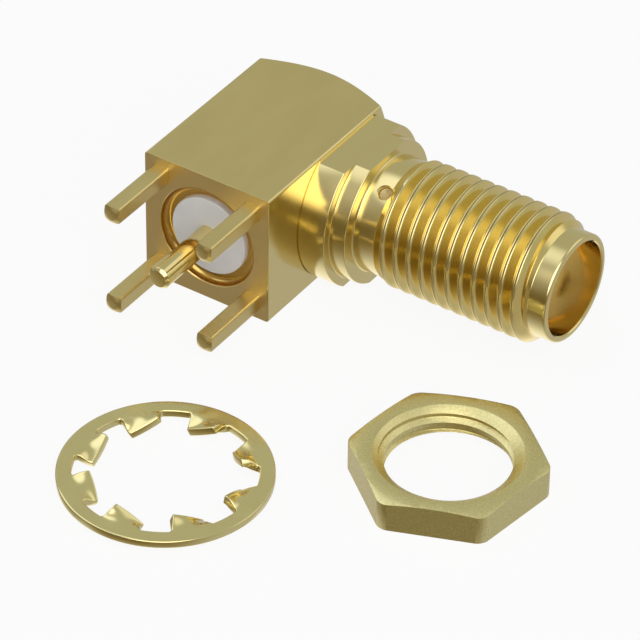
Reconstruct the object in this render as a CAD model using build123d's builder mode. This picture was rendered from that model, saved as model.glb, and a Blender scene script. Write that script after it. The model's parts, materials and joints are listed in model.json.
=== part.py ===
from build123d import *
from math import cos, radians, sin, tan
import os

# Right-angle coaxial jack for a circuit board, lying on its side with its panel nut and lock washer.
# Millimetres. The origin is the centre of the board face, on the axis of the tail pin.
# +X runs along the threaded barrel to its mouth, +Y runs from the board face into the block,
# and +Z is up, square to the side of the block that the jack lies on.

# Block
block_side = 6.9
block_height = 10.25
block_bevel = 0.17
crown_flat_radius = 3.1
crown_angle = 31.0

# Barrel, turned on an axis parallel to the board
barrel_height = 6.35
collar_radius = 4.0
collar_length = 1.43
step_radius = 3.55
step_length = 0.84
flat_drop = 0.2
edge_break = 0.07
neck_radius = 2.85
neck_length = 1.56
thread_radius = 3.1
thread_length = 7.27
thread_pitch = 25.4 / 36
thread_depth = 0.33
thread_crest = 0.15
lead_in_angle = 30.0
lip_radius = 2.64
lip_length = 0.94
lip_edge_radius = 0.14
mouth_bore_radius = 2.3
mouth_depth = 2.3
bore_edge_break = 0.06

# Board posts
post_pitch = 5.08
post_side = 0.84
post_corner_bevel = 0.13
post_length = 3.9
post_tip_bevel = 0.15

# Insulators and the bores that hold them
front_insulator_radius = 2.05
rear_insulator_radius = 2.03
junction_gap = 0.55
junction_bore_radius = 1.6
contact_way_radius = 1.4
board_recess_radius = 2.6
board_recess_depth = 0.35
rear_insulator_inset = 0.12

# Staking hole through the neck
stake_setback = 0.71
stake_angle = 122.6
stake_radius = 0.33
stake_rim_break = 0.06
stake_bite = 0.5
stake_plug_inset = 0.1

# Socket contact
contact_radius = 0.635
contact_bore_radius = 0.46
contact_bore_depth = 2.6
contact_slot_width = 0.2
contact_slot_length = 2.0
contact_ring_radius = 0.85
contact_ring_setback = 5.0
contact_ring_length = 0.6
contact_tail_radius = 0.5
contact_tail_overhang = 0.75

# Tail pin
pin_radius = 0.57
pin_length = 3.85
pin_tip_bevel = 0.14
shank_radius = 0.4
spigot_radius = 0.25

# Panel nut
nut_across_flats = 8.0
nut_thickness = 1.55
nut_corner_radius = 0.6
nut_crown_radius = 4.02
nut_crown_angle = 14.0
nut_bore_radius = 2.87
nut_countersink_radius = 3.37
nut_countersink_depth = 0.35
nut_x = 16.33
nut_y = -4.72
nut_turn = 21.8

# Internal-tooth lock washer
washer_outer_radius = 4.85
washer_inner_radius = 4.15
washer_thickness = 0.38
washer_edge_break = 0.1
tooth_count = 8
tooth_tip_radius = 3.28
tooth_root_width = 1.75
tooth_tip_width = 1.5
tooth_thickness = 0.34
tooth_twist = 24.0
tooth_overlap = 0.2
washer_x = 6.19
washer_y = -11.94
washer_turn = 6.5

# Stations along the barrel, from the block to the mouth
block_half = block_side / 2
collar_end_x = block_half + collar_length
shoulder_x = collar_end_x + step_length
thread_start_x = shoulder_x + neck_length
thread_end_x = thread_start_x + thread_length
lip_start_x = thread_end_x + thread_radius - lip_radius
mouth_x = lip_start_x + lip_length
lead_in_start_x = thread_start_x - (thread_radius - neck_radius) / tan(radians(lead_in_angle))
dielectric_x = mouth_x - mouth_depth
front_seat_x = rear_insulator_radius + junction_gap
rear_seat_y = barrel_height - front_insulator_radius - junction_gap
stake_x = thread_start_x - stake_setback
contact_ring_end_x = dielectric_x - contact_ring_setback

# The thread is drawn as one ring groove to a turn, from the first crest to the last.
thread_turns = int((thread_length - thread_crest) / thread_pitch)
thread_profile = []
for turn in range(thread_turns):
    groove_x = thread_start_x + thread_crest + turn * thread_pitch
    groove_end_x = groove_x + thread_pitch - thread_crest
    thread_profile += [
        (groove_x, barrel_height + thread_radius),
        ((groove_x + groove_end_x) / 2, barrel_height + thread_radius - thread_depth),
        (groove_end_x, barrel_height + thread_radius),
    ]

collar_flat = block_half - flat_drop
floor_z = -block_half
crown_outer_radius = block_side
crown_drop = (crown_outer_radius - crown_flat_radius) * tan(radians(crown_angle))

# The board plane looks into the block, and the barrel axis crosses the tail pin's axis.
board_plane = Plane(origin=(0, 0, 0), x_dir=(1, 0, 0), z_dir=(0, 1, 0))
barrel_axis = Axis((0, barrel_height, 0), (1, 0, 0))


def barrel_plane(x):
    """Plane square to the barrel, looking towards the mouth, with its origin on the barrel axis."""
    return Plane(origin=(x, barrel_height, 0), x_dir=(0, 1, 0), z_dir=(1, 0, 0))


# The staking hole is square to the barrel, on the upper side.
stake_direction = (0, cos(radians(stake_angle)), sin(radians(stake_angle)))
stake_plane = Plane(origin=(stake_x, barrel_height, 0), x_dir=(1, 0, 0), z_dir=stake_direction)

# Outside of the barrel, turned from inside the block to the mouth, with two flats on the collar
with BuildPart() as barrel:
    with BuildSketch(Plane.XY):
        with BuildLine():
            Polyline(
                (0, barrel_height),
                (0, barrel_height + neck_radius),
                (block_half, barrel_height + neck_radius),
                (block_half, barrel_height + collar_radius),
                (collar_end_x - edge_break, barrel_height + collar_radius),
                (collar_end_x, barrel_height + collar_radius - edge_break),
                (collar_end_x, barrel_height + step_radius),
                (shoulder_x - edge_break, barrel_height + step_radius),
                (shoulder_x, barrel_height + step_radius - edge_break),
                (shoulder_x, barrel_height + neck_radius),
                (lead_in_start_x, barrel_height + neck_radius),
                (thread_start_x, barrel_height + thread_radius),
                *thread_profile,
                (thread_end_x, barrel_height + thread_radius),
                (lip_start_x, barrel_height + lip_radius),
                (mouth_x, barrel_height + lip_radius),
                (mouth_x, barrel_height),
                close=True,
            )
        make_face()
        fillet(vertices().group_by(Axis.X)[-1].sort_by(Axis.Y)[-1], lip_edge_radius)
    revolve(axis=barrel_axis)
    split(bisect_by=Plane.XY.offset(collar_flat), keep=Keep.BOTTOM)
    split(bisect_by=Plane.XY.offset(-collar_flat), keep=Keep.TOP)

# Body: block, barrel and posts in one piece
with BuildPart() as body:
    # Square block with bevelled long edges
    with BuildSketch(board_plane):
        Rectangle(block_side, block_side)
        chamfer(vertices(), block_bevel)
    extrude(amount=block_height)

    # Crown turned on the end of the block away from the board
    with BuildSketch(Plane.XY):
        with BuildLine():
            Polyline(
                (crown_flat_radius, block_height),
                (crown_outer_radius, block_height - crown_drop),
                (crown_outer_radius, block_height),
                close=True,
            )
        make_face()
    revolve(axis=Axis.Y, mode=Mode.SUBTRACT)
    add(barrel.part)

    # Four board posts with bevelled corners and tips
    with BuildSketch(board_plane):
        with GridLocations(post_pitch, post_pitch, 2, 2):
            Rectangle(post_side, post_side)
        chamfer(vertices(), post_corner_bevel)
    extrude(amount=-post_length)
    chamfer(body.faces().sort_by(Axis.Y)[:4].edges(), post_tip_bevel)

    # Barrel bores: mouth, insulator bore to its seat, and the contact's way to the junction
    with BuildSketch(barrel_plane(mouth_x)):
        Circle(mouth_bore_radius)
    extrude(amount=-mouth_depth, mode=Mode.SUBTRACT)
    chamfer(body.edges().group_by(Axis.X)[-1].sort_by(SortBy.LENGTH)[0], bore_edge_break)
    with BuildSketch(barrel_plane(dielectric_x)):
        Circle(front_insulator_radius)
    extrude(amount=front_seat_x - dielectric_x, mode=Mode.SUBTRACT)
    with BuildSketch(barrel_plane(front_seat_x)):
        Circle(contact_way_radius)
    extrude(amount=-front_seat_x, mode=Mode.SUBTRACT)

    # Board-face bores: recess, insulator bore to its seat, and the junction above it
    with BuildSketch(board_plane):
        Circle(board_recess_radius)
    extrude(amount=board_recess_depth, mode=Mode.SUBTRACT)
    with BuildSketch(board_plane):
        Circle(rear_insulator_radius)
    extrude(amount=rear_seat_y, mode=Mode.SUBTRACT)
    with BuildSketch(board_plane):
        Circle(junction_bore_radius)
    extrude(amount=barrel_height + junction_bore_radius, mode=Mode.SUBTRACT)

    # Staking hole with a broken rim
    with BuildSketch(stake_plane):
        Circle(stake_radius)
    extrude(amount=collar_radius, mode=Mode.SUBTRACT)
    with BuildSketch(stake_plane.offset(neck_radius)):
        Circle(stake_radius + stake_rim_break)
    extrude(amount=-stake_rim_break, taper=45, mode=Mode.SUBTRACT)

body.part.label = "body"

# Front insulator: a sleeve against its seat, grooved for the contact's ring, drilled for the plug
with BuildPart() as front_insulator:
    with BuildSketch(Plane.XY):
        with BuildLine():
            Polyline(
                (front_seat_x, barrel_height + contact_radius),
                (front_seat_x, barrel_height + front_insulator_radius),
                (dielectric_x, barrel_height + front_insulator_radius),
                (dielectric_x, barrel_height + contact_radius),
                (contact_ring_end_x, barrel_height + contact_radius),
                (contact_ring_end_x, barrel_height + contact_ring_radius),
                (contact_ring_end_x - contact_ring_length, barrel_height + contact_ring_radius),
                (contact_ring_end_x - contact_ring_length, barrel_height + contact_radius),
                close=True,
            )
        make_face()
    revolve(axis=barrel_axis)
    with BuildSketch(stake_plane.offset(front_insulator_radius - stake_bite)):
        Circle(stake_radius)
    extrude(amount=stake_bite, mode=Mode.SUBTRACT)

front_insulator.part.label = "front_insulator"

# Rear insulator: a plain bush from near the board face to its seat
with BuildPart() as rear_insulator:
    with BuildSketch(board_plane.offset(rear_insulator_inset)):
        Circle(rear_insulator_radius)
        Circle(shank_radius, mode=Mode.SUBTRACT)
    extrude(amount=rear_seat_y - rear_insulator_inset)

rear_insulator.part.label = "rear_insulator"

# Epoxy plug that fills the staking hole and its pocket in the insulator
with BuildPart() as staking_plug:
    with BuildSketch(stake_plane.offset(front_insulator_radius - stake_bite)):
        Circle(stake_radius)
    extrude(amount=neck_radius - stake_plug_inset - front_insulator_radius + stake_bite)

staking_plug.part.label = "staking_plug"

# Socket contact: slotted mouth, retaining ring, and a thinner tail with a cross hole
with BuildPart() as socket_contact:
    with BuildSketch(Plane.XY):
        with BuildLine():
            Polyline(
                (-contact_tail_overhang, barrel_height),
                (-contact_tail_overhang, barrel_height + contact_tail_radius),
                (front_seat_x, barrel_height + contact_tail_radius),
                (front_seat_x, barrel_height + contact_radius),
                (contact_ring_end_x - contact_ring_length, barrel_height + contact_radius),
                (contact_ring_end_x - contact_ring_length, barrel_height + contact_ring_radius),
                (contact_ring_end_x, barrel_height + contact_ring_radius),
                (contact_ring_end_x, barrel_height + contact_radius),
                (dielectric_x, barrel_height + contact_radius),
                (dielectric_x, barrel_height),
                close=True,
            )
        make_face()
    revolve(axis=barrel_axis)
    with BuildSketch(barrel_plane(dielectric_x)):
        Circle(contact_bore_radius)
    extrude(amount=-contact_bore_depth, mode=Mode.SUBTRACT)
    with BuildSketch(barrel_plane(dielectric_x)):
        Rectangle(2 * contact_ring_radius, contact_slot_width)
        Rectangle(contact_slot_width, 2 * contact_ring_radius)
    extrude(amount=-contact_slot_length, mode=Mode.SUBTRACT)
    with BuildSketch(board_plane.offset(barrel_height)):
        Circle(spigot_radius)
    extrude(amount=contact_radius, both=True, mode=Mode.SUBTRACT)

socket_contact.part.label = "socket_contact"

# Tail pin: bevelled tip, shoulder against the rear insulator, shank, and spigot through the contact
with BuildPart() as tail_pin:
    with BuildSketch(Plane.XY):
        with BuildLine():
            Polyline(
                (0, -pin_length),
                (pin_radius - pin_tip_bevel, -pin_length),
                (pin_radius, -pin_length + pin_tip_bevel),
                (pin_radius, rear_insulator_inset),
                (shank_radius, rear_insulator_inset),
                (shank_radius, barrel_height - contact_tail_radius),
                (spigot_radius, barrel_height - contact_tail_radius),
                (spigot_radius, barrel_height + contact_tail_radius),
                (0, barrel_height + contact_tail_radius),
                close=True,
            )
        make_face()
    revolve(axis=Axis.Y)

tail_pin.part.label = "tail_pin"

# Panel nut: hexagon with a shallow turned crown on the upper face, countersunk at both ends
nut_plane = Plane(origin=(nut_x, nut_y, floor_z), z_dir=(0, 0, 1)).rotated((0, 0, nut_turn))
nut_axis = Axis((nut_x, nut_y, floor_z), (0, 0, 1))
nut_crown_drop = (nut_across_flats - nut_crown_radius) * tan(radians(nut_crown_angle))
with BuildPart() as panel_nut:
    with BuildSketch(nut_plane):
        RegularPolygon(nut_across_flats / 2, 6, major_radius=False)
        fillet(vertices(), nut_corner_radius)
    extrude(amount=nut_thickness)
    with BuildSketch(Plane.XZ.offset(-nut_y)):
        with BuildLine():
            Polyline(
                (nut_x + nut_crown_radius, floor_z + nut_thickness),
                (nut_x + nut_across_flats, floor_z + nut_thickness - nut_crown_drop),
                (nut_x + nut_across_flats, floor_z + nut_thickness),
                close=True,
            )
        make_face()
    revolve(axis=nut_axis, mode=Mode.SUBTRACT)
    with BuildSketch(Plane.XZ.offset(-nut_y)):
        with BuildLine():
            Polyline(
                (nut_x, floor_z),
                (nut_x + nut_countersink_radius, floor_z),
                (nut_x + nut_bore_radius, floor_z + nut_countersink_depth),
                (nut_x + nut_bore_radius, floor_z + nut_thickness - nut_countersink_depth),
                (nut_x + nut_countersink_radius, floor_z + nut_thickness),
                (nut_x, floor_z + nut_thickness),
                close=True,
            )
        make_face()
    revolve(axis=nut_axis, mode=Mode.SUBTRACT)

panel_nut.part.label = "panel_nut"

# Lock washer: flat ring that lies on the lower corners of its twisted teeth
tooth_dip = (
    tooth_tip_width / 2 * sin(radians(tooth_twist))
    + tooth_thickness / 2 * cos(radians(tooth_twist))
    - washer_thickness / 2
)
ring_z = floor_z + tooth_dip
tooth_plane = Plane(
    origin=(washer_x, washer_y, ring_z + washer_thickness / 2), x_dir=(0, 1, 0), z_dir=(1, 0, 0)
)
washer_axis = Axis((washer_x, washer_y, ring_z), (0, 0, 1))

with BuildPart() as tooth:
    with BuildSketch(tooth_plane.offset(washer_inner_radius + tooth_overlap)):
        Rectangle(tooth_root_width, tooth_thickness)
    with BuildSketch(tooth_plane.offset(tooth_tip_radius)):
        Rectangle(tooth_tip_width, tooth_thickness, rotation=-tooth_twist)
    loft()

with BuildPart() as lock_washer:
    with BuildSketch(Plane.XY.offset(ring_z)):
        with Locations((washer_x, washer_y)):
            Circle(washer_outer_radius)
            Circle(washer_inner_radius, mode=Mode.SUBTRACT)
    extrude(amount=washer_thickness)
    chamfer(edges().sort_by(SortBy.LENGTH)[-2:], washer_edge_break)
    for step in range(tooth_count):
        turn = washer_turn + step * 360 / tooth_count
        add(tooth.part.rotate(washer_axis, turn))

lock_washer.part.label = "lock_washer"

os.makedirs("parts", exist_ok=True)
export_step(body.part, "parts/body.step")
export_step(front_insulator.part, "parts/front_insulator.step")
export_step(rear_insulator.part, "parts/rear_insulator.step")
export_step(staking_plug.part, "parts/staking_plug.step")
export_step(socket_contact.part, "parts/socket_contact.step")
export_step(tail_pin.part, "parts/tail_pin.step")
export_step(panel_nut.part, "parts/panel_nut.step")
export_step(lock_washer.part, "parts/lock_washer.step")
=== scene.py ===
# Looks of a gold-plated right-angle coaxial jack, with its panel nut and lock washer
import json
import math
from collections import Counter

import bpy
from mathutils import Matrix, Vector


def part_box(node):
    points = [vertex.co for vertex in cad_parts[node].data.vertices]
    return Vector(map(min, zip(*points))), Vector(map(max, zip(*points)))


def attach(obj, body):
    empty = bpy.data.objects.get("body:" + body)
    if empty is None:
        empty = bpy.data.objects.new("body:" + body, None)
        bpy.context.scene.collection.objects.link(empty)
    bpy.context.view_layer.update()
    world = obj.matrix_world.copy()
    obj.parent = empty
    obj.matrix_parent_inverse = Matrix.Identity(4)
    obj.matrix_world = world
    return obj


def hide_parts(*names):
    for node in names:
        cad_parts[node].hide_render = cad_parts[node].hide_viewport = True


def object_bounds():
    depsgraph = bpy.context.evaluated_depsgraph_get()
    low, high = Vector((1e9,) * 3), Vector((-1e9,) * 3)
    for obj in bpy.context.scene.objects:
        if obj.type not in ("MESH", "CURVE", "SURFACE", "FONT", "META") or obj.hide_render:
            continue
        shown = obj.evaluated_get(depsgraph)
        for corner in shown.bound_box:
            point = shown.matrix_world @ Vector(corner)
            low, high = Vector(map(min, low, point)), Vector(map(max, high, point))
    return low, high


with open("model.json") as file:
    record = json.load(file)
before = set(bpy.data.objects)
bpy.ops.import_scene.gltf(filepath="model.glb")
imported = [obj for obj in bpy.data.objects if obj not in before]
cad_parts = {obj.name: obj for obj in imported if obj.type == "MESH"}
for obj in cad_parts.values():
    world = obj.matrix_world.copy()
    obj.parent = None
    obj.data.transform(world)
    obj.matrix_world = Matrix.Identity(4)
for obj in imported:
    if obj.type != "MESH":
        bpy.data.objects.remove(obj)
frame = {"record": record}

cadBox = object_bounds()
mounts = {mount["name"]: mount for mount in frame["record"]["mounts"]}
mm = 0.001                                  # settings are in millimetres, meshes in metres
spinSteps = 160                             # round the barrel, the crown and the nut
pinSteps = 96                               # round the insulators and the tail pin
smallSteps = 48                             # round the small holes and tips
arcStep = math.radians(16)                  # about one step in the arc of a rounding
sharpAngle = 28                             # edges that turn more than this stay sharp
mergeGap = 0.0004                           # points closer than this become one
cutGap = 0.0008                             # the same after a thread has been cut


# A line to turn or screw about: a point on it, its direction, and where the outline is drawn
class TurningLine:
    def __init__(self, origin, along, outward):
        self.origin = Vector(origin)
        self.along = Vector(along).normalized()
        self.outward = Vector(outward).normalized()

    def point(self, reach, radius):
        return self.origin + self.along * reach * mm + self.outward * radius * mm


barrelLine = TurningLine((0, mounts["coupling_thread"]["pos_m"][1], 0), (1, 0, 0), (0, 1, 0))
pinLine = TurningLine(mounts["centre_pin"]["pos_m"], (0, 1, 0), (1, 0, 0))


def deselectAll():
    if bpy.context.mode != "OBJECT":
        bpy.ops.object.mode_set(mode="OBJECT")
    bpy.ops.object.select_all(action="DESELECT")


def pickUp(piece):
    deselectAll()
    piece.select_set(True)
    bpy.context.view_layer.objects.active = piece


def enterMesh(piece):
    pickUp(piece)
    bpy.ops.object.mode_set(mode="EDIT")
    bpy.ops.mesh.select_mode(type="VERT")
    bpy.ops.mesh.select_all(action="SELECT")


# Leaves edit mode on with only the parts that pass the test selected
def selectParts(piece, kind, test):
    enterMesh(piece)
    bpy.ops.mesh.select_mode(type=kind)
    bpy.ops.mesh.select_all(action="DESELECT")
    bpy.ops.object.mode_set(mode="OBJECT")
    for part in piece.data.edges if kind == "EDGE" else piece.data.polygons:
        part.select = test(part)
    bpy.ops.object.mode_set(mode="EDIT")


# The two ends of an edge differ by more than a length along an axis
def runsAlong(piece, edge, axis, length):
    ends = [piece.data.vertices[end].co for end in edge.vertices]
    return abs(ends[0][axis] - ends[1][axis]) > length * mm


# Doubles go, faces point outwards
def tidyMesh(piece, distance=mergeGap):
    enterMesh(piece)
    bpy.ops.mesh.remove_doubles(threshold=distance * mm)
    bpy.ops.mesh.normals_make_consistent(inside=False)
    bpy.ops.object.mode_set(mode="OBJECT")


def bakePlace(piece):
    pickUp(piece)
    bpy.ops.object.transform_apply(location=True, rotation=True, scale=True)


def applyModifier(piece, kind, **settings):
    pickUp(piece)
    modifier = piece.modifiers.new(kind.title(), kind)
    for name, value in settings.items():
        setattr(modifier, name, value)
    bpy.ops.object.modifier_apply(modifier=modifier.name)


def carve(piece, tool, operation="DIFFERENCE"):
    applyModifier(piece, "BOOLEAN", operation=operation, solver="EXACT", object=tool)
    bpy.data.objects.remove(tool)


# Corners are (reach, radius) or (reach, radius, rounding); a rounded one becomes an arc
def roundedOutline(corners):
    outline = []
    for index, corner in enumerate(corners):
        here = Vector(corner[:2])
        if len(corner) == 2:
            outline.append(here)
            continue
        back = (Vector(corners[index - 1][:2]) - here).normalized()
        ahead = (Vector(corners[(index + 1) % len(corners)][:2]) - here).normalized()
        half = back.angle(ahead) / 2
        centre = here + (back + ahead).normalized() * corner[2] / math.sin(half)
        start = here + back * corner[2] / math.tan(half) - centre
        end = here + ahead * corner[2] / math.tan(half) - centre
        steps = max(2, round((math.pi - 2 * half) / arcStep))
        for step in range(steps + 1):
            share = math.sin(step / steps * start.angle(end)) / math.sin(start.angle(end))
            rest = math.sin((1 - step / steps) * start.angle(end)) / math.sin(start.angle(end))
            outline.append(centre + start * rest + end * share)
    return outline


# One vertex is drawn out along the outline, edge by edge
def drawOutline(name, outline, line):
    deselectAll()
    bpy.ops.mesh.primitive_plane_add(size=mm)
    piece = bpy.context.object
    piece.name = name
    piece.data.name = name
    enterMesh(piece)
    bpy.ops.mesh.merge(type="CENTER")
    bpy.ops.transform.translate(value=line.point(*outline[0]))
    for here, there in zip(outline, outline[1:]):
        step = line.point(*there) - line.point(*here)
        bpy.ops.mesh.extrude_region_move(TRANSFORM_OT_translate={"value": step})
    return piece


# A closed outline that touches the line becomes solid, any other one a ring
def turned(name, corners, line, steps=spinSteps):
    outline = roundedOutline(corners)
    ring = min(radius for reach, radius in outline) > 0
    piece = drawOutline(name, outline + outline[:1] if ring else outline, line)
    bpy.ops.mesh.select_all(action="SELECT")
    bpy.ops.mesh.remove_doubles(threshold=mergeGap * mm)
    bpy.ops.mesh.spin(steps=steps, angle=math.tau, center=line.origin, axis=line.along)
    tidyMesh(piece)
    return piece


# A closed outline is screwed along a line that runs through the outline's own zero point
def screwed(name, corners, line, pitch, turns, steps):
    outline = roundedOutline(corners)
    piece = drawOutline(name, outline + outline[:1], TurningLine((0, 0, 0), (0, 0, 1), (1, 0, 0)))
    bpy.ops.mesh.select_all(action="SELECT")
    bpy.ops.mesh.remove_doubles(threshold=mergeGap * mm)
    bpy.ops.object.mode_set(mode="OBJECT")
    applyModifier(piece, "SCREW", axis="Z", angle=math.tau, screw_offset=pitch * mm, iterations=turns,
                  steps=steps, render_steps=steps, use_merge_vertices=False, use_smooth_shade=True)
    enterMesh(piece)
    bpy.ops.mesh.fill_holes(sides=0)
    bpy.ops.object.mode_set(mode="OBJECT")
    across = line.along.cross(line.outward)
    turn = Matrix((line.outward, across, line.along)).transposed().to_4x4()
    piece.matrix_world = Matrix.Translation(line.origin) @ turn
    bakePlace(piece)
    tidyMesh(piece)
    return piece


def smoothBy(piece, degrees):
    pickUp(piece)
    bpy.ops.object.shade_smooth_by_angle(angle=math.radians(degrees))


def weightNormals(piece):
    applyModifier(piece, "WEIGHTED_NORMAL", keep_sharp=True, weight=80)      # large faces rule


def finishPiece(piece, node, degrees=sharpAngle):
    smoothBy(piece, degrees)
    weightNormals(piece)
    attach(piece, "root")
    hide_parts(node)
    print("made", piece.name, "with", len(piece.data.polygons), "faces")
    return piece


# Body: a square block with a turned crown, a flatted and threaded barrel, and four posts
body = {
    "blockSide": 6.9, "blockHeight": 10.25, "longBevel": 0.17, "edgeBreak": 0.03,
    "crownFlat": 3.1, "crownAngle": 31, "crownReach": 6.0, "crownRound": 0.2,
    "rootStart": 0.5, "rootRadius": 3.0,             # the barrel's root, inside the block
    "collarRadius": 4.0, "collarStart": 3.44, "collarEnd": 4.88, "flatHeight": 3.25,
    "seamRadius": 3.94, "seamEnd": 3.5,
    "stepRadius": 3.55, "stepEnd": 5.72, "rimBreak": 0.05,
    "neckRadius": 2.87, "leadIn": 6.85, "threadStart": 7.28, "threadRadius": 3.1,
    "threadEnd": 14.55, "lipRadius": 2.64, "lipStart": 15.01, "mouth": 15.95, "lipRound": 0.14,
    "postPitch": 5.08, "postSide": 0.84, "postRound": 0.13, "postLength": 3.9,
    "postSink": 0.5, "tipRadius": 0.27, "tipDrop": 0.3, "tipRound": 0.1,
}
bores = {
    "contactWay": 1.4, "frontSeat": 2.58, "frontRadius": 2.05, "dielectric": 13.65,
    "mouthRadius": 2.3, "mouthBreak": 0.06, "seatRound": 0.05, "beyond": 0.2,
    "recessRadius": 2.6, "recessDepth": 0.45, "recessBreak": 0.05, "recessRound": 0.33,
    "rearRadius": 2.03, "rearSeat": 3.75, "junctionRadius": 1.6, "junctionTop": 7.95,
}
stake = {"reach": 6.57, "angle": 122.6, "radius": 0.33, "rimBreak": 0.07, "bottom": 1.55}
thread = {
    "pitch": 0.7056, "rootRadius": 2.655, "crestHalf": 0.088, "crestRound": 0.018, "stock": 0.004,
    "flankAngle": 30, "toolTop": 3.4,
    "firstGroove": 6.89, "firstAngle": 95, "turns": 12, "steps": 120, "fadeTurns": 0.14,
}


def makeBlock():
    deselectAll()
    bpy.ops.mesh.primitive_cube_add(size=1)
    block = bpy.context.object
    block.scale = Vector((body["blockSide"], body["blockHeight"], body["blockSide"])) * mm
    block.location.y = body["blockHeight"] / 2 * mm
    bakePlace(block)
    selectParts(block, "EDGE", lambda edge: runsAlong(block, edge, 1, body["blockHeight"] / 2))
    bpy.ops.mesh.bevel(offset=body["longBevel"] * mm, segments=3, affect="EDGES", profile=0.6)
    bpy.ops.object.mode_set(mode="OBJECT")
    drop = (body["crownReach"] - body["crownFlat"]) * math.tan(math.radians(body["crownAngle"]))
    crown = turned("crown", [
        (-body["crownReach"], 0), (-body["crownReach"], body["crownReach"]),
        (body["blockHeight"] - drop, body["crownReach"]),
        (body["blockHeight"], body["crownFlat"], body["crownRound"]), (body["blockHeight"], 0),
    ], pinLine)
    carve(block, crown, "INTERSECT")
    tidyMesh(block)
    applyModifier(block, "BEVEL", width=body["edgeBreak"] * mm, segments=2, limit_method="ANGLE",
                  angle_limit=math.radians(sharpAngle), use_clamp_overlap=True)
    return block


def makeBarrel():
    rim = body["rimBreak"]
    barrel = turned("barrel", [
        (body["rootStart"], 0), (body["rootStart"], body["rootRadius"]),
        (body["collarStart"], body["rootRadius"]), (body["collarStart"], body["seamRadius"]),
        (body["seamEnd"], body["seamRadius"]), (body["seamEnd"], body["collarRadius"]),
        (body["collarEnd"], body["collarRadius"], rim), (body["collarEnd"], body["stepRadius"], rim),
        (body["stepEnd"], body["stepRadius"], rim), (body["stepEnd"], body["neckRadius"], 2 * rim),
        (body["leadIn"], body["neckRadius"], rim),
        (body["threadStart"], body["threadRadius"] + thread["stock"]),
        (body["threadEnd"], body["threadRadius"] + thread["stock"]),
        (body["lipStart"], body["lipRadius"], rim),
        (body["mouth"], body["lipRadius"], body["lipRound"]), (body["mouth"], 0),
    ], barrelLine)
    for side in (1, -1):                             # two flats on the collar
        enterMesh(barrel)
        bpy.ops.mesh.bisect(plane_co=(0, 0, side * body["flatHeight"] * mm), plane_no=(0, 0, side),
                            use_fill=True, clear_outer=True, threshold=0.0001 * mm)
    tidyMesh(barrel)
    return barrel


def makePost():
    deselectAll()
    bpy.ops.mesh.primitive_cube_add(size=1)
    post = bpy.context.object
    length = body["postLength"] + body["postSink"]   # the sunk end is inside the block
    post.scale = Vector((body["postSide"], length, body["postSide"])) * mm
    post.location.y = (body["postSink"] - body["postLength"]) / 2 * mm
    bakePlace(post)
    selectParts(post, "EDGE", lambda edge: runsAlong(post, edge, 1, body["postLength"] / 2))
    bpy.ops.mesh.bevel(offset=body["postRound"] * mm, segments=4, affect="EDGES")
    bpy.ops.object.mode_set(mode="OBJECT")
    tip, back = -body["postLength"], 2 * body["postSink"]
    carve(post, turned("postTip", [                  # the free end is turned to a blunt point
        (tip, 0), (tip, body["tipRadius"], body["tipRound"]),
        (tip + body["tipDrop"], body["postSide"]), (back, body["postSide"]), (back, 0),
    ], pinLine, smallSteps), "INTERSECT")
    tidyMesh(post)
    return post


def copyOf(piece):
    twin = piece.copy()
    twin.data = piece.data.copy()
    bpy.context.scene.collection.objects.link(twin)
    return twin


# Section of one groove from crest to crest: a rounded root, two flanks and rounded crest edges
def threadCorners():
    half, crest = thread["pitch"] / 2, body["threadRadius"]
    edge = half - thread["crestHalf"]
    apex = crest - edge / math.tan(math.radians(thread["flankAngle"]))
    return [
        (-half, thread["toolTop"]), (-half, crest), (-edge, crest, thread["crestRound"]),
        (0, apex, thread["rootRadius"] - apex), (edge, crest, thread["crestRound"]),
        (half, crest), (half, thread["toolTop"]),
    ]


# Neighbouring turns share a wall, which goes, so that the turns make one closed solid
def dropSharedWalls(piece):
    spots = [tuple(round(value / mm, 3) for value in face.center) for face in piece.data.polygons]
    shared = {spot for spot, count in Counter(spots).items() if count > 1}
    selectParts(piece, "FACE", lambda face: spots[face.index] in shared)
    bpy.ops.mesh.delete(type="FACE")
    bpy.ops.object.mode_set(mode="OBJECT")
    tidyMesh(piece)


# The tool that cuts the right-handed thread; its groove sinks in over the first part turn
def makeThreadTool():
    start = math.radians(thread["firstAngle"])
    outward = Vector((0, math.cos(start), math.sin(start)))
    origin = barrelLine.point(thread["firstGroove"], 0)
    line = TurningLine(origin, barrelLine.along, outward)
    tool = screwed("threadTool", threadCorners(), line, thread["pitch"], thread["turns"],
                   thread["steps"])
    dropSharedWalls(tool)
    for vertex in tool.data.vertices:
        spoke = vertex.co - origin
        reach = spoke.dot(line.along)
        spoke -= line.along * reach
        angle = math.atan2(line.along.cross(outward).dot(spoke), outward.dot(spoke)) % math.tau
        offset = reach / mm - angle / math.tau * thread["pitch"]
        depth = body["threadRadius"] - spoke.length / mm
        if abs(offset) < thread["pitch"] / 2 and depth > 0:
            lift = max(0, 1 - angle / math.tau / thread["fadeTurns"]) * depth
            vertex.co += spoke.normalized() * lift * mm
    return tool


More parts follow.
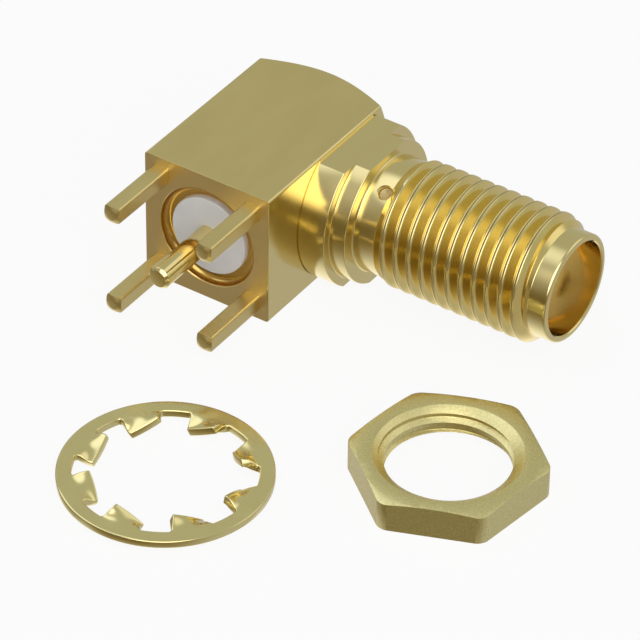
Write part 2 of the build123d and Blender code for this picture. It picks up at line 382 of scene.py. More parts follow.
def makeBody():
    piece = makeBlock()
    piece.name = "jackBody"
    piece.data.name = "jackBody"
    carve(piece, makeBarrel(), "UNION")
    first = makePost()
    for x in (-0.5, 0.5):
        for z in (-0.5, 0.5):
            post = copyOf(first)
            post.location = Vector((x, 0, z)) * body["postPitch"] * mm
            bakePlace(post)
            carve(piece, post, "UNION")
    bpy.data.objects.remove(first)
    flare = bores["beyond"]
    carve(piece, turned("barrelBore", [
        (0, 0), (0, bores["contactWay"]), (bores["frontSeat"], bores["contactWay"]),
        (bores["frontSeat"], bores["frontRadius"]), (bores["dielectric"], bores["frontRadius"]),
        (bores["dielectric"], bores["mouthRadius"], bores["seatRound"]),
        (body["mouth"] - bores["mouthBreak"], bores["mouthRadius"]),
        (body["mouth"] + flare, bores["mouthRadius"] + bores["mouthBreak"] + flare),
        (body["mouth"] + flare, 0),
    ], barrelLine))
    carve(piece, turned("boardBore", [
        (-flare, 0), (-flare, bores["recessRadius"] + bores["recessBreak"] + flare),
        (bores["recessBreak"], bores["recessRadius"]),
        (bores["recessDepth"], bores["recessRadius"], bores["recessRound"]),
        (bores["recessDepth"], bores["rearRadius"]),
        (bores["rearSeat"], bores["rearRadius"]), (bores["rearSeat"], bores["junctionRadius"]),
        (bores["junctionTop"], bores["junctionRadius"]), (bores["junctionTop"], 0),
    ], pinLine))
    carve(piece, turned("stakeDrill", [
        (stake["bottom"], 0), (stake["bottom"], stake["radius"]),
        (body["neckRadius"] - stake["rimBreak"], stake["radius"], bores["seatRound"]),
        (body["neckRadius"] + flare, stake["radius"] + stake["rimBreak"] + flare),
        (body["neckRadius"] + flare, 0),
    ], stakeLine, smallSteps))
    print("bores cut")
    carve(piece, makeThreadTool())
    tidyMesh(piece, cutGap)
    return finishPiece(piece, "body")


stakeAngle = math.radians(stake["angle"])
stakeLine = TurningLine(barrelLine.point(stake["reach"], 0),
                        (0, math.cos(stakeAngle), math.sin(stakeAngle)), (1, 0, 0))
jackBody = makeBody()

# Inner pieces: insulators, socket contact, tail pin and the plug in the staking hole
inner = {
    "contactRadius": 0.635, "tailRadius": 0.5, "tailEnd": -0.75, "ringRadius": 0.85,
    "ringStart": 8.05, "ringEnd": 8.65, "socketRadius": 0.46, "socketDepth": 2.6,
    "slotWidth": 0.2, "slotLength": 2.0, "rearInset": 0.12,
    "pinRadius": 0.57, "pinLength": 3.85, "pinBevel": 0.14, "shankRadius": 0.4,
    "spigotRadius": 0.25, "edgeRound": 0.05, "boreRound": 0.04, "bushRound": 0.06,
    "tailRound": 0.1, "plugTop": 2.76, "plugBottom": 1.55, "plugRound": 0.06,
    "dishRadius": 0.14, "dishEdge": 0.16, "dishDepth": 0.18, "dishRound": 0.1,
    "contactSteps": 64, "sawSpan": 2, "sawBeyond": 0.001, "plugSharpAngle": 50,
}


def makeInnerPieces():
    barrelHeight = barrelLine.origin.y / mm
    front = turned("frontSleeve", [
        (bores["frontSeat"], inner["contactRadius"]),
        (bores["frontSeat"], bores["frontRadius"], inner["edgeRound"]),
        (bores["dielectric"], bores["frontRadius"], inner["edgeRound"]),
        (bores["dielectric"], inner["contactRadius"], inner["boreRound"]),
        (inner["ringEnd"], inner["contactRadius"]), (inner["ringEnd"], inner["ringRadius"]),
        (inner["ringStart"], inner["ringRadius"]), (inner["ringStart"], inner["contactRadius"]),
    ], barrelLine, pinSteps)
    rear = turned("rearBush", [
        (inner["rearInset"], inner["shankRadius"]),
        (inner["rearInset"], bores["rearRadius"], inner["bushRound"]),
        (bores["rearSeat"], bores["rearRadius"]), (bores["rearSeat"], inner["shankRadius"]),
    ], pinLine, pinSteps)
    socket = turned("socketContact", [
        (inner["tailEnd"], 0), (inner["tailEnd"], inner["tailRadius"], inner["tailRound"]),
        (bores["frontSeat"], inner["tailRadius"]), (bores["frontSeat"], inner["contactRadius"]),
        (inner["ringStart"], inner["contactRadius"]), (inner["ringStart"], inner["ringRadius"]),
        (inner["ringEnd"], inner["ringRadius"]), (inner["ringEnd"], inner["contactRadius"]),
        (bores["dielectric"], inner["contactRadius"], inner["edgeRound"]),
        (bores["dielectric"], inner["socketRadius"], inner["edgeRound"]),
        (bores["dielectric"] - inner["socketDepth"], inner["socketRadius"]),
        (bores["dielectric"] - inner["socketDepth"], 0),
    ], barrelLine, inner["contactSteps"])
    for turn in (0, math.pi / 2):                    # two crossing saw cuts make four fingers
        deselectAll()
        bpy.ops.mesh.primitive_cube_add(size=1, rotation=(turn, 0, 0))
        saw = bpy.context.object
        saw.scale = Vector((inner["slotLength"], inner["sawSpan"], inner["slotWidth"])) * mm
        middle = bores["dielectric"] - inner["slotLength"] / 2 + inner["sawBeyond"]
        saw.location = barrelLine.point(middle, 0)
        bakePlace(saw)
        carve(socket, saw)
    pin = turned("boardPin", [
        (-inner["pinLength"], 0),
        (-inner["pinLength"], inner["pinRadius"] - inner["pinBevel"], inner["boreRound"]),
        (-inner["pinLength"] + inner["pinBevel"], inner["pinRadius"], inner["boreRound"]),
        (inner["rearInset"], inner["pinRadius"]), (inner["rearInset"], inner["shankRadius"]),
        (barrelHeight - inner["tailRadius"], inner["shankRadius"]),
        (barrelHeight - inner["tailRadius"], inner["spigotRadius"]),
        (barrelHeight + inner["tailRadius"], inner["spigotRadius"]),
        (barrelHeight + inner["tailRadius"], 0),
    ], pinLine, pinSteps)
    plug = turned("stakePlug", [
        (inner["plugBottom"], 0), (inner["plugBottom"], stake["radius"]),
        (inner["plugTop"], stake["radius"], inner["plugRound"]),
        (inner["plugTop"] - inner["dishEdge"], inner["dishRadius"], inner["dishRound"]),
        (inner["plugTop"] - inner["dishDepth"], 0),
    ], stakeLine, smallSteps)
    finishPiece(front, "front_insulator")
    finishPiece(rear, "rear_insulator")
    finishPiece(socket, "socket_contact")
    finishPiece(pin, "tail_pin")
    finishPiece(plug, "staking_plug", inner["plugSharpAngle"])
    return {"front": front, "rear": rear, "socket": socket, "pin": pin, "plug": plug}


innerPieces = makeInnerPieces()

# Panel nut: a thin hexagon with a shallow crown and a thread
nut = {
    "acrossFlats": 8.0, "thickness": 1.55, "cornerRadius": 0.6, "cornerAngle": 21.8,
    "crownRadius": 4.02, "crownAngle": 14, "crownReach": 6.0, "edgeBreak": 0.04,
    "boreRadius": 2.87, "sinkRadius": 3.37, "sinkDepth": 0.35, "beyond": 0.2,
    "rootRadius": 3.12, "rootHalf": 0.1, "rootRound": 0.05, "crestHalf": 0.25,
    "toolHalf": 0.34, "toolRadius": 2.7, "turns": 4, "steps": 120, "tapStart": 0.2,
    "below": 1, "cornerSegments": 10, "breakAngle": 25,
}


def makeNut():
    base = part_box("panel_nut")[0].z
    centre = mounts["nut_thread"]["pos_m"]
    line = TurningLine((centre[0], centre[1], base), (0, 0, 1), (1, 0, 0))
    deselectAll()
    primitiveCorner = 30                             # where a six-sided cylinder has a corner
    bpy.ops.mesh.primitive_cylinder_add(
        vertices=6, radius=nut["acrossFlats"] / 2 / math.cos(math.pi / 6) * mm,
        depth=nut["thickness"] * mm, location=line.point(nut["thickness"] / 2, 0),
        rotation=(0, 0, math.radians(nut["cornerAngle"] - primitiveCorner)))
    piece = bpy.context.object
    piece.name = "hexNut"
    piece.data.name = "hexNut"
    bakePlace(piece)
    selectParts(piece, "EDGE", lambda edge: runsAlong(piece, edge, 2, nut["thickness"] / 2))
    bpy.ops.mesh.bevel(offset=nut["cornerRadius"] * math.tan(math.pi / 6) * mm,
                       segments=nut["cornerSegments"], affect="EDGES")
    bpy.ops.object.mode_set(mode="OBJECT")
    drop = (nut["crownReach"] - nut["crownRadius"]) * math.tan(math.radians(nut["crownAngle"]))
    carve(piece, turned("nutCrown", [
        (-nut["below"], 0), (-nut["below"], nut["crownReach"]),
        (nut["thickness"] - drop, nut["crownReach"]),
        (nut["thickness"], nut["crownRadius"]), (nut["thickness"], 0),
    ], line), "INTERSECT")
    slope = (nut["sinkRadius"] - nut["boreRadius"]) / nut["sinkDepth"]
    wide = nut["sinkRadius"] + slope * nut["beyond"]
    carve(piece, turned("nutBore", [
        (-nut["beyond"], 0), (-nut["beyond"], wide), (nut["sinkDepth"], nut["boreRadius"]),
        (nut["thickness"] - nut["sinkDepth"], nut["boreRadius"]),
        (nut["thickness"] + nut["beyond"], wide), (nut["thickness"] + nut["beyond"], 0),
    ], line))
    tidyMesh(piece)
    applyModifier(piece, "BEVEL", width=nut["edgeBreak"] * mm, segments=2, limit_method="ANGLE",
                  angle_limit=math.radians(nut["breakAngle"]))
    tapStart = nut["tapStart"] - 2 * thread["pitch"]
    low = TurningLine(line.point(tapStart, 0), line.along, line.outward)
    carve(piece, screwed("nutTap", [
        (-nut["toolHalf"], nut["toolRadius"]), (-nut["crestHalf"], nut["boreRadius"]),
        (-nut["rootHalf"], nut["rootRadius"], nut["rootRound"]),
        (nut["rootHalf"], nut["rootRadius"], nut["rootRound"]),
        (nut["crestHalf"], nut["boreRadius"]), (nut["toolHalf"], nut["toolRadius"]),
    ], low, thread["pitch"], nut["turns"], nut["steps"]))
    tidyMesh(piece, cutGap)
    return finishPiece(piece, "panel_nut")


hexNut = makeNut()

# Lock washer: one stamped sector with its twisted tooth, copied round the ring
washer = {
    "outerRadius": 4.85, "innerRadius": 4.15, "thickness": 0.38, "teeth": 8, "firstTooth": 6.5,
    "rootHalf": 0.875, "tipHalf": 0.76, "tipRadius": 3.28, "tipBulge": 0.05, "flare": 0.12,
    "flareShare": 0.22, "twist": 25, "edgeRound": 0.09, "gapColumns": 4, "toothColumns": 14,
    "ringRows": 5, "toothRows": 12, "twistHaste": 1.15, "joinGap": 0.001, "edgeAngle": 50,
    "sharpAngle": 40,
}


def ease(share):
    return share * share * (3 - 2 * share)


# Where a point of the flat sector goes: columns run round the ring, rows run inwards
def washerPoint(column, row):
    half = math.radians(180 / washer["teeth"])
    rootAngle = (washer["rootHalf"] + washer["flare"]) / washer["innerRadius"]
    gap, tooth = washer["gapColumns"], washer["toothColumns"]
    if column < gap:
        angle = -half + (half - rootAngle) * column / gap
    elif column > gap + tooth:
        angle = rootAngle + (half - rootAngle) * (column - gap - tooth) / gap
    else:
        angle = rootAngle * (2 * (column - gap) / tooth - 1)
    if row <= washer["ringRows"]:
        ringWidth = washer["innerRadius"] - washer["outerRadius"]
        radius = washer["outerRadius"] + ringWidth * row / washer["ringRows"]
        return Vector((radius * math.cos(angle), radius * math.sin(angle), 0))
    inward = (row - washer["ringRows"]) / washer["toothRows"]
    across = angle / rootAngle
    width = washer["rootHalf"] + (washer["tipHalf"] - washer["rootHalf"]) * inward
    width += washer["flare"] * max(0, 1 - inward / washer["flareShare"]) ** 2
    root = washer["innerRadius"] * math.cos(angle)
    tip = washer["tipRadius"] - washer["tipBulge"] * (1 - across * across)
    turn = math.radians(washer["twist"]) * ease(min(1, inward * washer["twistHaste"]))
    side = width * across
    return Vector((root + (tip - root) * inward, side * math.cos(turn), -side * math.sin(turn)))


def makeWasher():
    low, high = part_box("lock_washer")
    columns = 2 * washer["gapColumns"] + washer["toothColumns"]
    rows = washer["ringRows"] + washer["toothRows"]
    deselectAll()
    bpy.ops.mesh.primitive_grid_add(x_subdivisions=columns, y_subdivisions=rows, size=1)
    piece = bpy.context.object
    piece.name = "toothWasher"
    piece.data.name = "toothWasher"

    def besideTooth(face):
        column = (face.center.x + 0.5) * columns
        row = (0.5 - face.center.y) * rows
        return row > washer["ringRows"] and abs(column - columns / 2) > washer["toothColumns"] / 2

    selectParts(piece, "FACE", besideTooth)
    bpy.ops.mesh.delete(type="FACE")
    bpy.ops.object.mode_set(mode="OBJECT")
    for vertex in piece.data.vertices:
        column = round((vertex.co.x + 0.5) * columns)
        row = round((0.5 - vertex.co.y) * rows)
        vertex.co = washerPoint(column, row) * mm
    sectors = [copyOf(piece) for tooth in range(1, washer["teeth"])]
    for number, sector in enumerate([piece] + sectors):
        turn = math.radians(washer["firstTooth"] + 360 / washer["teeth"] * number)
        sector.rotation_euler.z = turn
    deselectAll()
    for sector in [piece] + sectors:
        sector.select_set(True)
    bpy.context.view_layer.objects.active = piece
    bpy.ops.object.transform_apply(location=True, rotation=True, scale=True)
    bpy.ops.object.join()
    tidyMesh(piece, washer["joinGap"])
    applyModifier(piece, "SOLIDIFY", thickness=washer["thickness"] * mm, offset=0, use_even_offset=True)
    applyModifier(piece, "BEVEL", width=washer["edgeRound"] * mm, segments=3, limit_method="ANGLE",
                  angle_limit=math.radians(washer["edgeAngle"]))
    lowest = min(vertex.co.z for vertex in piece.data.vertices)
    middle = (low + high) / 2
    piece.location = (middle.x, middle.y, low.z - lowest)
    bakePlace(piece)
    tidyMesh(piece)
    return finishPiece(piece, "lock_washer", washer["sharpAngle"])


toothWasher = makeWasher()


# A socket that can be used in sums, and the bench that makes a material's nodes
class Wire:
    def __init__(self, bench, socket):
        self.bench = bench
        self.socket = socket

    def maths(self, operation, one, two):
        return self.bench.node("ShaderNodeMath", {"operation": operation}, {0: one, 1: two})

    def __add__(self, other):
        return self.maths("ADD", self, other)

    def __sub__(self, other):
        return self.maths("SUBTRACT", self, other)

    def __mul__(self, other):
        return self.maths("MULTIPLY", self, other)

    def root(self):
        return self.maths("SQRT", self, 0.0)

    def __gt__(self, other):
        return self.maths("GREATER_THAN", self, other)

    def __lt__(self, other):
        return self.maths("LESS_THAN", self, other)

    __radd__ = __add__
    __rmul__ = __mul__


class Bench:
    def __init__(self, owner):
        owner.use_nodes = True
        self.owner = owner
        self.tree = owner.node_tree
        self.tree.nodes.clear()
        self.place = self.node("ShaderNodeTexCoord", output="Object")

    def node(self, kind, settings=None, sockets=None, output=0):
        made = self.tree.nodes.new(kind)
        for name, value in (settings or {}).items():
            if name == "stops":
                elements = made.color_ramp.elements  # a new ramp has two
                for stop, (position, colour) in enumerate(value):
                    element = elements[stop] if stop < 2 else elements.new(position)
                    element.position = position
                    element.color = colour
            else:
                setattr(made, name, value)
        for name, value in (sockets or {}).items():
            if isinstance(value, Wire):
                self.tree.links.new(value.socket, made.inputs[name])
            else:
                made.inputs[name].default_value = value
        return Wire(self, made.outputs[output]) if made.outputs else made

    # An axis of a vector
    def part(self, vector, axis):
        return self.node("ShaderNodeSeparateXYZ", {}, {0: vector}, axis)

    # Which rays see this: one for the camera, one for what metal and glass show
    def rays(self):
        seen = self.node("ShaderNodeLightPath", output="Is Camera Ray")
        glossy = self.node("ShaderNodeLightPath", output="Is Glossy Ray")
        clear = self.node("ShaderNodeLightPath", output="Is Transmission Ray")
        return seen, glossy + clear

    def distance(self, one, two):
        return (one * one + two * two).root()

    # One value where a share is 0, another where it is 1
    def choose(self, share, off, on):
        return self.node("ShaderNodeMix", {"data_type": "FLOAT"}, {0: share, 2: off, 3: on})

    # From 0 to 1 as a value goes from one limit to the other
    def between(self, value, start, end):
        return self.node("ShaderNodeMapRange", {}, {0: value, 1: start, 2: end, 3: 0.0, 4: 1.0})

    # Stops are (position, colour)
    def ramp(self, value, stops):
        return self.node("ShaderNodeValToRGB", {"stops": stops}, {0: value})

    # Noise on the piece, with its grain stretched by a scale for each axis, in waves a millimetre
    def noise(self, scale, detail=2, roughness=0.5):
        scale = [waves / mm for waves in scale]
        stretched = self.node("ShaderNodeMapping", {}, {"Vector": self.place, "Scale": scale})
        return self.node("ShaderNodeTexNoise", {}, {
            "Vector": stretched, "Scale": 1.0, "Detail": detail, "Roughness": roughness})

    def blend(self, share, one, two):
        return self.node("ShaderNodeMix", {"data_type": "RGBA"}, {0: share, 6: one, 7: two}, 2)

    def metal(self, colour, roughness, height, distance):
        bump = self.node("ShaderNodeBump", {}, {
            "Height": height, "Distance": distance * mm, "Strength": 1.0})
        shader = self.node("ShaderNodeBsdfPrincipled", {}, {
            "Base Color": colour, "Metallic": 1.0, "Roughness": roughness, "Normal": bump})
        self.node("ShaderNodeOutputMaterial", {}, {"Surface": shader})
        return self.owner


def dress(piece, material):
    piece.data.materials.clear()
    piece.data.materials.append(material)


# The plating's colours by zone, some of them painted shade or painted reflection, how rough each
# finish is and by how much that varies
gold = {
    "pale": (0.84, 0.71, 0.34, 1), "warm": (0.83, 0.68, 0.3, 1), "olive": (0.75, 0.6, 0.25, 1),
    # Painted shade: the board colour is browner, for the dimmer things that the board face reflects.
    # Painted shade: the recess colour is a darker orange, for light lost inside the recess round the
    # rear bush.
    "dull": (0.83, 0.68, 0.31, 1), "recessShade": (0.72, 0.46, 0.13, 1), "boardShade": (0.82, 0.64, 0.31, 1),
    # Painted reflection: the bore colour is a deeper orange, for light bounced inside the mouth.
    # Painted reflection: the valley colour is a deeper yellow, for light bounced between the thread's
    # flanks.
    # Painted shade: the side colour is a little darker, for the dim things that the smooth side face
    # reflects.
    "side": (0.8, 0.65, 0.28, 1), "valley": (0.88, 0.7, 0.27, 1), "bore": (0.88, 0.66, 0.22, 1),
    "nut": (0.88, 0.78, 0.37, 1), "sandDark": (0.62, 0.53, 0.22, 1), "sandPale": (1.0, 0.9, 0.46, 1),
    "blockRoughness": 0.34, "boardRoughness": 0.46, "mirrorRoughness": 0.16,
    "turnedRoughness": 0.18, "threadRoughness": 0.17, "brushedRoughness": 0.15,
    "nutRoughness": 0.36, "washerRoughness": 0.2, "pinRoughness": 0.12,
    "blockVaries": 0.08, "looseVaries": 0.1, "pinVaries": 0.06,
    "brushShare": 0.6, "speckleShare": 0.4, "ringShare": 0.12,
    "toolMarks": 0.004, "sandHeight": 0.016, "dentHeight": 0.3,      # heights in millimetres
}
# Waves a millimetre along x, y and z
grain = {
    "blockCloud": (0.9, 0.25, 0.9), "brushing": (9, 0.35, 9), "speckle": (14, 14, 14),
    "rings": (16, 0.3, 0.3), "sand": (11, 11, 11), "nutCloud": (0.6, 0.6, 0.6),
    "dents": (0.4, 0.4, 0.4), "washerCloud": (0.7, 0.7, 0.7), "pinLines": (10, 0.5, 10),
    "pinCloud": (0.8, 0.8, 0.8), "ptfeCloud": (1.2, 1.2, 1.2), "ptfeGrain": (20, 20, 20),
    "epoxyCloud": (3, 3, 3),
}
# Where the plating's zones end, in millimetres; a skin is how far the limit of a zone is set off
# from the surface that the zone is named after
zones = {
    "barrelFrom": body["collarStart"] - 0.05, "mirrorTo": body["collarStart"] + 0.012,
    "threadFrom": 6.95, "crestSkin": 0.03, "lipSkin": 0.1, "boreSkin": 0.02, "recessTo": 0.5,
    "faceSkin": 0.002, "recessSkin": 0.001,
}
plastic = {
    "ptfeShade": (0.76, 0.76, 0.78, 1), "ptfeLight": (0.82, 0.82, 0.84, 1), "ptfeRoughness": 0.45,
    "ptfeVaries": 0.1, "ptfeHeight": 0.004, "ptfeDepth": 0.3, "ptfeGlow": 0.15,
    "epoxyDark": (0.5, 0.36, 0.12, 1), "epoxyLight": (0.7, 0.55, 0.24, 1),
    "epoxyRoughness": 0.18, "epoxyVaries": 0.1, "epoxyCoat": 0.5,
}


# The block is milled and brushed, its side by the barrel and its recess are smoother, the barrel is
# turned, and the thread's valleys are painted a deeper yellow than its crests as painted reflection.
# The board face, the side face, the recess and the mouth carry painted shade or painted reflection.
def makeBodyGold():
    bench = Bench(bpy.data.materials.new("platedGold"))
    x, y, z = (bench.part(bench.place, axis) for axis in "XYZ")
    fromBarrel = bench.distance(y - barrelLine.origin.y, z)
    fromPin = bench.distance(x, z)
    barrel = x > zones["barrelFrom"] * mm
    belowCrest = fromBarrel < (body["threadRadius"] - zones["crestSkin"]) * mm
    valley = (x > zones["threadFrom"] * mm) * belowCrest * (x < body["lipStart"] * mm)
    lip = x > (body["lipStart"] - zones["lipSkin"]) * mm
    inRecess = fromPin < (bores["recessRadius"] + zones["boreSkin"]) * mm
    recess = (y > -zones["recessSkin"] * mm) * inRecess * (y < zones["recessTo"] * mm)
    sideFace = x > (body["blockSide"] / 2 - zones["faceSkin"]) * mm
    mirror = sideFace * (x < zones["mirrorTo"] * mm)
    board = (y < zones["faceSkin"] * mm) * (y > -zones["faceSkin"] * mm)
    inMouth = fromBarrel < (bores["mouthRadius"] + zones["boreSkin"]) * mm
    mouth = (x > (bores["dielectric"] - zones["lipSkin"]) * mm) * inMouth
    cloud = bench.noise(grain["blockCloud"], 3)
    brushing = bench.noise(grain["brushing"], 3) * gold["brushShare"]
    brushing = brushing + bench.noise(grain["speckle"]) * gold["speckleShare"]
    rings = bench.noise(grain["rings"]) * gold["ringShare"]
    roughness = bench.choose(board, gold["blockRoughness"], gold["boardRoughness"])
    roughness = bench.choose(barrel, roughness, gold["turnedRoughness"])
    roughness = bench.choose(valley, roughness, gold["threadRoughness"])
    roughness = bench.choose(lip, roughness, gold["brushedRoughness"])
    roughness = bench.choose(recess, roughness, gold["turnedRoughness"])
    roughness = bench.choose(mirror, roughness, gold["mirrorRoughness"])
    roughness = roughness + (cloud - 0.5) * gold["blockVaries"]
    colour = bench.blend(cloud, gold["olive"], gold["dull"])
    # Painted shade: the board face is made browner.
    colour = bench.blend(board, colour, gold["boardShade"])
    # Painted shade: the side face by the barrel is made a little darker.
    colour = bench.blend(mirror, colour, gold["side"])
    colour = bench.blend(barrel, colour, bench.blend(cloud, gold["warm"], gold["pale"]))
    # Painted reflection: the thread's valleys are made a deeper yellow.
    colour = bench.blend(valley, colour, gold["valley"])
    # Painted reflection: the mouth's bore is made a deeper orange.
    colour = bench.blend(mouth, colour, gold["bore"])
    # Painted shade: the recess is made a darker orange.
    colour = bench.blend(recess, colour, gold["recessShade"])
    height = bench.choose(barrel, brushing, rings)
    return bench.metal(colour, roughness, height, gold["toolMarks"])


def makeNutGold():
    bench = Bench(bpy.data.materials.new("sandedGold"))
    sand = bench.noise(grain["sand"], 2, 0.6)
    cloud = bench.noise(grain["nutCloud"])
    colour = bench.blend(sand, gold["sandDark"], gold["sandPale"])
    roughness = gold["nutRoughness"] + (cloud - 0.5) * gold["looseVaries"]
    return bench.metal(colour, roughness, sand, gold["sandHeight"])


def makeStampedGold():
    bench = Bench(bpy.data.materials.new("stampedGold"))
    dents = bench.noise(grain["dents"], 1, 0.4)
    cloud = bench.noise(grain["washerCloud"])
    colour = bench.blend(cloud, gold["pale"], gold["nut"])
    roughness = gold["washerRoughness"] + (cloud - 0.5) * gold["looseVaries"]
    return bench.metal(colour, roughness, dents, gold["dentHeight"])


def makePinGold():
    bench = Bench(bpy.data.materials.new("polishedGold"))
    lines = bench.noise(grain["pinLines"])
    cloud = bench.noise(grain["pinCloud"])
    colour = bench.blend(cloud, gold["warm"], gold["pale"])
    roughness = gold["pinRoughness"] + (cloud - 0.5) * gold["pinVaries"]
    return bench.metal(colour, roughness, lines, gold["toolMarks"])


def makePtfe():
    bench = Bench(bpy.data.materials.new("whiteBush"))
    cloud = bench.noise(grain["ptfeCloud"])
    colour = bench.blend(cloud, plastic["ptfeShade"], plastic["ptfeLight"])
    bump = bench.node("ShaderNodeBump", {}, {
        "Height": bench.noise(grain["ptfeGrain"]), "Distance": plastic["ptfeHeight"] * mm})
    shader = bench.node("ShaderNodeBsdfPrincipled", {}, {
        "Base Color": colour, "Normal": bump,
        "Roughness": plastic["ptfeRoughness"] + (cloud - 0.5) * plastic["ptfeVaries"],
        "Subsurface Weight": plastic["ptfeGlow"], "Subsurface Scale": 1.0,
        "Subsurface Radius": [plastic["ptfeDepth"] * mm] * 3})
    bench.node("ShaderNodeOutputMaterial", {}, {"Surface": shader})
    return bench.owner


def makeEpoxy():
    bench = Bench(bpy.data.materials.new("amberEpoxy"))
    cloud = bench.noise(grain["epoxyCloud"])
    colour = bench.blend(cloud, plastic["epoxyDark"], plastic["epoxyLight"])
    roughness = plastic["epoxyRoughness"] + cloud * plastic["epoxyVaries"]
    shader = bench.node("ShaderNodeBsdfPrincipled", {}, {
        "Base Color": colour, "Roughness": roughness, "Coat Weight": plastic["epoxyCoat"]})
    bench.node("ShaderNodeOutputMaterial", {}, {"Surface": shader})
    return bench.owner


dress(jackBody, makeBodyGold())
dress(hexNut, makeNutGold())
dress(toothWasher, makeStampedGold())
pinGold = makePinGold()
whiteBush = makePtfe()
dress(innerPieces["pin"], pinGold)
dress(innerPieces["socket"], pinGold)
dress(innerPieces["front"], whiteBush)
dress(innerPieces["rear"], whiteBush)
dress(innerPieces["plug"], makeEpoxy())
print("materials set")

# Studio: a white floor and surround. Metal shows a grey tent, which below the horizon is dim towards
# the front and bright towards the back, with three soft patches of light: above on the left, by the
# camera and at the back on the right. A patch is its direction, the cosines where it starts and is
# full, and its glow. A ramp's stops run from front to back, frontSky's from the horizon upwards.
def grey(level, warmth=0.0):
    return (level * (1 + warmth), level, level * (1 - 2 * warmth), 1)


studio = {
    "floorSize": 4.0, "floorShade": grey(0.8), "floorGlow": 0.92, "surround": 0.3,
    "lowLeft": [(0.0, grey(0.12, 0.28)), (0.086, grey(0.14, 0.25)), (0.17, grey(0.24, 0.2)),
                (0.3, grey(0.52)), (0.446, grey(0.88)), (0.6, grey(1.1)), (0.745, grey(1.1)),
                (0.9, grey(0.52))],
    "lowRight": [(0.0, grey(0.15, 0.28)), (0.28, grey(0.27, 0.15)), (0.5, grey(0.5)),
                 (1.0, grey(0.5))],
    "lowRightFrom": 0.0, "lowRightTo": 0.4, "farLeftFrom": -0.6, "farLeftTo": -0.85,
    "farLeft": grey(0.25, 0.1), "horizonFrom": -0.06, "horizonTo": 0.02,
    "frontSky": [(0.0, grey(0.15, 0.28)), (0.1, grey(0.18, 0.2)), (0.26, grey(0.28, 0.1)),
                 (0.54, grey(0.4, 0.04)), (0.75, grey(0.5))],
    "sky": (0.47, 0.49, 0.45, 1), "frontFrom": -0.15, "frontTo": -0.5,
    "patches": [((-0.64, -0.05, 0.77), 0.87, 0.935, grey(1.25, -0.05)),
                ((0.35, -0.65, 0.67), 0.8, 0.9, grey(2.3)),
                ((0.5, 0.6, 0.62), 0.88, 0.95, grey(0.95))],
    "aim": (0.008, 0.002, 0),
    "lamps": [("leftBox", (-0.437, -0.15, 0.887), 0.5, 0.3, 1.15),
              ("rightBox", (0.55, -0.45, 0.7), 0.5, 0.7, 1.4)],
}


def makeFloor():
    deselectAll()
    bpy.ops.mesh.primitive_plane_add(size=studio["floorSize"])
    floor = bpy.context.object
    floor.name = "floor"
    floor.location.z = cadBox[0][2]
    bakePlace(floor)
    bench = Bench(bpy.data.materials.new("paleFloor"))
    seen, shown = bench.rays()
    matte = bench.node("ShaderNodeBsdfDiffuse", {}, {"Color": studio["floorShade"]})
    shine = bench.node("ShaderNodeEmission", {}, {"Color": grey(1)})
    share = seen * studio["floorGlow"] + shown
    mixed = bench.node("ShaderNodeMixShader", {}, {0: share, 1: matte, 2: shine})
    bench.node("ShaderNodeOutputMaterial", {}, {"Surface": mixed})
    dress(floor, bench.owner)
    floor.visible_glossy = False                     # metal shows the lower half of the surround


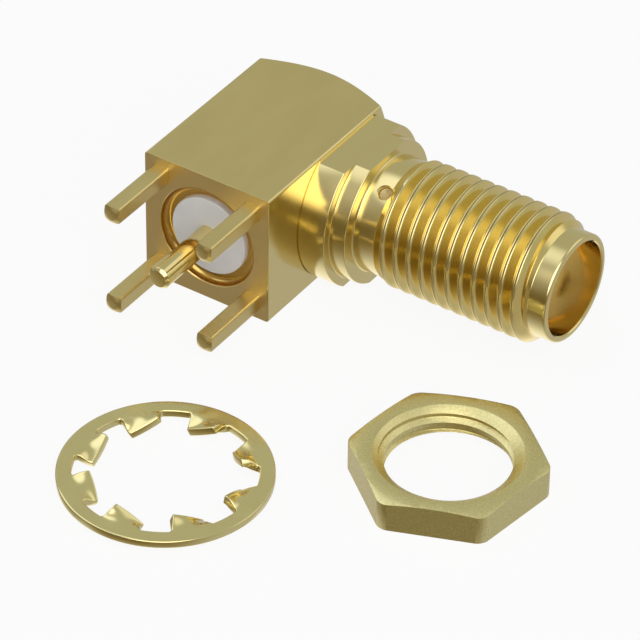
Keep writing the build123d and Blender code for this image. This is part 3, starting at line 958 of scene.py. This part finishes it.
def makeWorld():
    world = bpy.data.worlds.new("surround")
    bpy.context.scene.world = world
    bench = Bench(world)
    direction = bench.node("ShaderNodeTexCoord", output="Generated")
    x, y, z = (bench.part(direction, axis) for axis in "XYZ")
    along = bench.between(y, -1.0, 1.0)
    right = bench.between(x, studio["lowRightFrom"], studio["lowRightTo"])
    farLeft = bench.between(x, studio["farLeftFrom"], studio["farLeftTo"])
    low = bench.ramp(along, studio["lowLeft"])
    low = bench.blend(right, low, bench.ramp(along, studio["lowRight"]))
    low = bench.blend(farLeft, low, studio["farLeft"])
    front = bench.between(y, studio["frontFrom"], studio["frontTo"])
    high = bench.blend(front, studio["sky"], bench.ramp(z, studio["frontSky"]))
    sky = bench.blend(bench.between(z, studio["horizonFrom"], studio["horizonTo"]), low, high)
    for centre, start, end, glow in studio["patches"]:
        nearness = bench.node("ShaderNodeVectorMath", {"operation": "DOT_PRODUCT"},
                              {0: direction, 1: Vector(centre).normalized()}, "Value")
        sky = bench.blend(bench.between(nearness, start, end), sky, glow)
    seen, shown = bench.rays()
    around = bench.blend(shown, grey(studio["surround"]), sky)
    background = bench.node("ShaderNodeBackground", {}, {"Color": bench.blend(seen, around, grey(1))})
    bench.node("ShaderNodeOutputWorld", {}, {"Surface": background})


# A round lamp that faces the object; glow is how bright it looks, where white is 1
def makeLamp(name, direction, distance, size, glow):
    deselectAll()
    place = Vector(studio["aim"]) + Vector(direction).normalized() * distance
    bpy.ops.object.light_add(type="AREA", location=place)
    lamp = bpy.context.object
    lamp.name = name
    lamp.data.shape = "DISK"
    lamp.data.size = size
    lamp.data.energy = glow * math.pi * math.pi * size * size / 4
    lamp.rotation_euler = Vector(direction).to_track_quat("Z", "Y").to_euler()
    lamp.visible_glossy = False                      # metal shows the surround's own soft patch


makeFloor()
makeWorld()
for lamp in studio["lamps"]:
    makeLamp(*lamp)

# Camera: the photograph's own angle, found from the block's edges and the barrel's rims
camera = {
    "place": (97.637, -137.405, 126.380), "lens": 258.12, "film": 36, "nearest": 0.01,
    "back": (0.43688, -0.65727, 0.61410), "up": (-0.35065, 0.50425, 0.78916),
}


def makeCamera():
    deselectAll()
    bpy.ops.object.camera_add()
    eye = bpy.context.object
    eye.name = "photographAngle"
    eye.data.lens = camera["lens"]
    eye.data.sensor_width = camera["film"]
    eye.data.clip_start = camera["nearest"]
    back = Vector(camera["back"]).normalized()
    right = Vector(camera["up"]).cross(back).normalized()
    up = back.cross(right)
    turn = Matrix((right, up, back)).transposed().to_4x4()
    eye.matrix_world = Matrix.Translation(Vector(camera["place"]) * mm) @ turn
    bpy.context.scene.camera = eye


makeCamera()
bpy.context.scene.view_settings.view_transform = "Standard"
print("studio set")

deselectAll()
